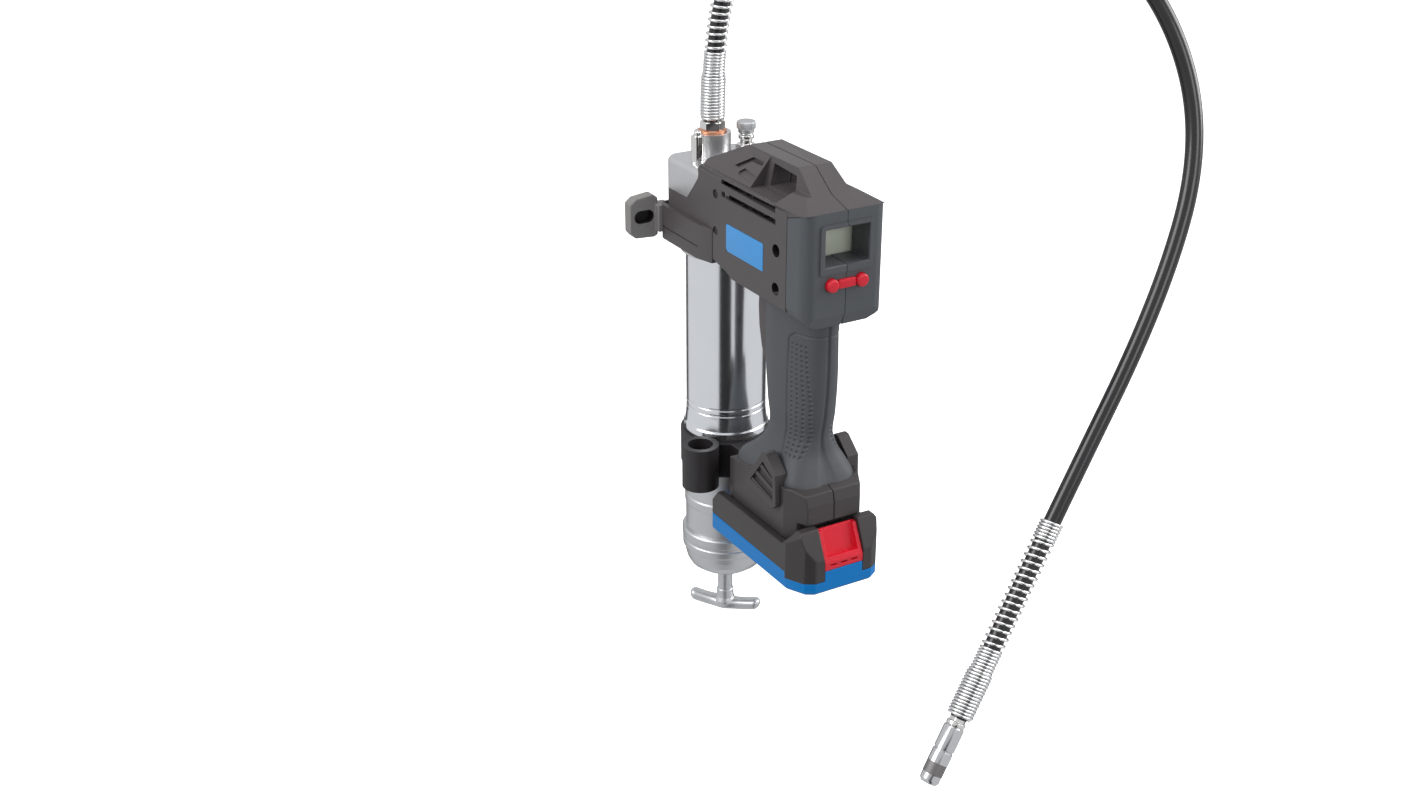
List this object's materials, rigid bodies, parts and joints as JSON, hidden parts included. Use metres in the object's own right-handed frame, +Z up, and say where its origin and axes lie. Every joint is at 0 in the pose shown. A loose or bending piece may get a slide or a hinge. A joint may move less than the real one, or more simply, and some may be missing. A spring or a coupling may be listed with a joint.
{
  "type": "cordless grease gun",
  "caption": "Battery grease gun: cartridge barrel, pump head with whip hose, pistol grip with display and trigger, slide-on battery pack.",
  "frame": {"origin": "on the barrel's axis, at the middle of the barrel", "axes": "+Z up along the barrel towards the pump head, +X from the barrel to the handle and display, Y = 0 is the parting plane of the mouldings"},
  "size_m": [0.3353, 0.2617, 0.546],
  "materials": {
    "casting": "cast, fine satin",
    "barrel_steel": "bright zinc-plated drawn steel",
    "cap_zinc": "satin zinc",
    "rod_steel": "ground steel",
    "black_steel": "black oxide",
    "nickel": "bright nickel",
    "filler_zinc": "satin zinc",
    "copper": "annealed copper",
    "bronze": "sintered bronze",
    "housing_plastic": "fine-grained warm grey-brown moulding",
    "bezel_plastic": "fine-grained blue-grey moulding",
    "grip_rubber": "soft overmoulding",
    "eyelet_plastic": "light grey moulding",
    "clamp_rubber": "black moulding",
    "badge_blue": "plain blue plate",
    "signal_red": "satin red",
    "lens": "clear window",
    "display": "pale liquid-crystal glass",
    "board": "circuit board",
    "black_plastic": "black moulding",
    "motor_steel": "plated steel",
    "magnet": "ferrite",
    "spring_steel": "plated spring wire",
    "seal_rubber": "nitrile rubber",
    "hose_rubber": "smooth black cover",
    "coupler_steel": "plated steel",
    "nose_steel": "matte plated steel",
    "battery_blue": "satin blue",
    "battery_brown": "fine-grained dark brown moulding",
    "cell_wrap": "shrink sleeve"
  },
  "bodies": {
    "housing": {"pump_head": "casting", "outlet_check_ball": "rod_steel", "outlet_washer": "copper", "hose_fitting": "nickel", "vent_valve_body": "nickel", "filler_coupling": "nickel", "filler_cap": "filler_zinc", "barrel_tube": "barrel_steel", "end_cap": "cap_zinc", "rod_bush": "bronze", "barrel_collar": "housing_plastic", "strap_eyelet": "eyelet_plastic", "housing_left": "housing_plastic", "housing_right": "housing_plastic", "side_badges": "badge_blue", "housing_screws": "black_steel", "bezel_left": "bezel_plastic", "bezel_right": "bezel_plastic", "button_bridge": "signal_red", "display_window": "lens", "display_module": "display", "control_board": "board", "grip_left": "grip_rubber", "grip_right": "grip_rubber", "trigger_switch": "black_plastic", "base_left": "housing_plastic", "base_right": "housing_plastic", "vent_pods": "housing_plastic", "tool_terminals": "black_plastic", "hose_holder_clamp": "clamp_rubber", "motor_can": "motor_steel", "motor_bushes": "bronze", "motor_magnets": "magnet", "gear_plate": "rod_steel", "gear_bearing": "bronze", "follower_spring": "spring_steel", "hose": "hose_rubber", "upper_guard": "spring_steel", "lower_guard": "spring_steel", "hose_ferrule": "nickel", "coupler_body": "coupler_steel", "coupler_nose": "nose_steel", "coupler_jaws": "seal_rubber"},
    "pull_rod": {"follower_rod": "rod_steel", "t_handle": "cap_zinc"},
    "follower": {"follower_piston": "rod_steel", "follower_cup": "seal_rubber"},
    "plunger": {"pump_yoke": "rod_steel", "pump_plunger": "rod_steel"},
    "rotor": {"motor_rotor": "rod_steel", "motor_pinion": "rod_steel"},
    "crank": {"crank_gear": "rod_steel"},
    "trigger": {"trigger": "housing_plastic"},
    "left_button": {"button_left": "signal_red"},
    "right_button": {"button_right": "signal_red"},
    "vent_plunger": {"vent_valve_plunger": "nickel"},
    "battery": {"battery_tray": "battery_blue", "battery_lid": "battery_brown", "battery_cells": "cell_wrap"},
    "latch": {"battery_latch": "signal_red"}
  },
  "joints": [
    {"name": "rod_pull", "type": "slide", "parent": "housing", "child": "pull_rod", "axis": [0, 0, -1], "range_m": [0, 0.16]},
    {"name": "follower_travel", "type": "slide", "parent": "housing", "child": "follower", "axis": [0, 0, -1], "range_m": [0, 0.16], "deforming": ["follower_spring"]},
    {"name": "rotor_spin", "type": "hinge", "parent": "housing", "child": "rotor", "pos_m": [0.08, 0, 0.10895], "axis": [1, 0, 0], "continuous": true},
    {"name": "crank_spin", "type": "hinge", "parent": "housing", "child": "crank", "pos_m": [0.05, 0, 0.131], "axis": [1, 0, 0], "continuous": true},
    {"name": "plunger_stroke", "type": "slide", "parent": "housing", "child": "plunger", "axis": [0, 1, 0], "range_m": [-0.0045, 0.0045]},
    {"name": "trigger_pull", "type": "slide", "parent": "housing", "child": "trigger", "axis": [1, 0, 0], "range_m": [0, 0.007], "stiffness_N_per_m": 900, "springref_m": -0.004},
    {"name": "left_button_press", "type": "slide", "parent": "housing", "child": "left_button", "axis": [-1, 0, 0], "range_m": [0, 0.0012], "stiffness_N_per_m": 600, "springref_m": -0.001},
    {"name": "right_button_press", "type": "slide", "parent": "housing", "child": "right_button", "axis": [-1, 0, 0], "range_m": [0, 0.0012], "stiffness_N_per_m": 600, "springref_m": -0.001},
    {"name": "vent_press", "type": "slide", "parent": "housing", "child": "vent_plunger", "axis": [0, 0, -1], "range_m": [0, 0.002], "stiffness_N_per_m": 500, "springref_m": -0.001},
    {"name": "battery_slide", "type": "slide", "parent": "housing", "child": "battery", "axis": [1, 0, 0], "range_m": [0, 0.1]},
    {"name": "latch_press", "type": "slide", "parent": "battery", "child": "latch", "axis": [-1, 0, 0], "range_m": [0, 0.0025], "stiffness_N_per_m": 900, "springref_m": -0.002}
  ],
  "couplings": [
    {"joint": "follower_travel", "follows": "rod_pull", "ratio": 1},
    {"joint": "crank_spin", "follows": "rotor_spin", "ratio": -0.4}
  ]
}
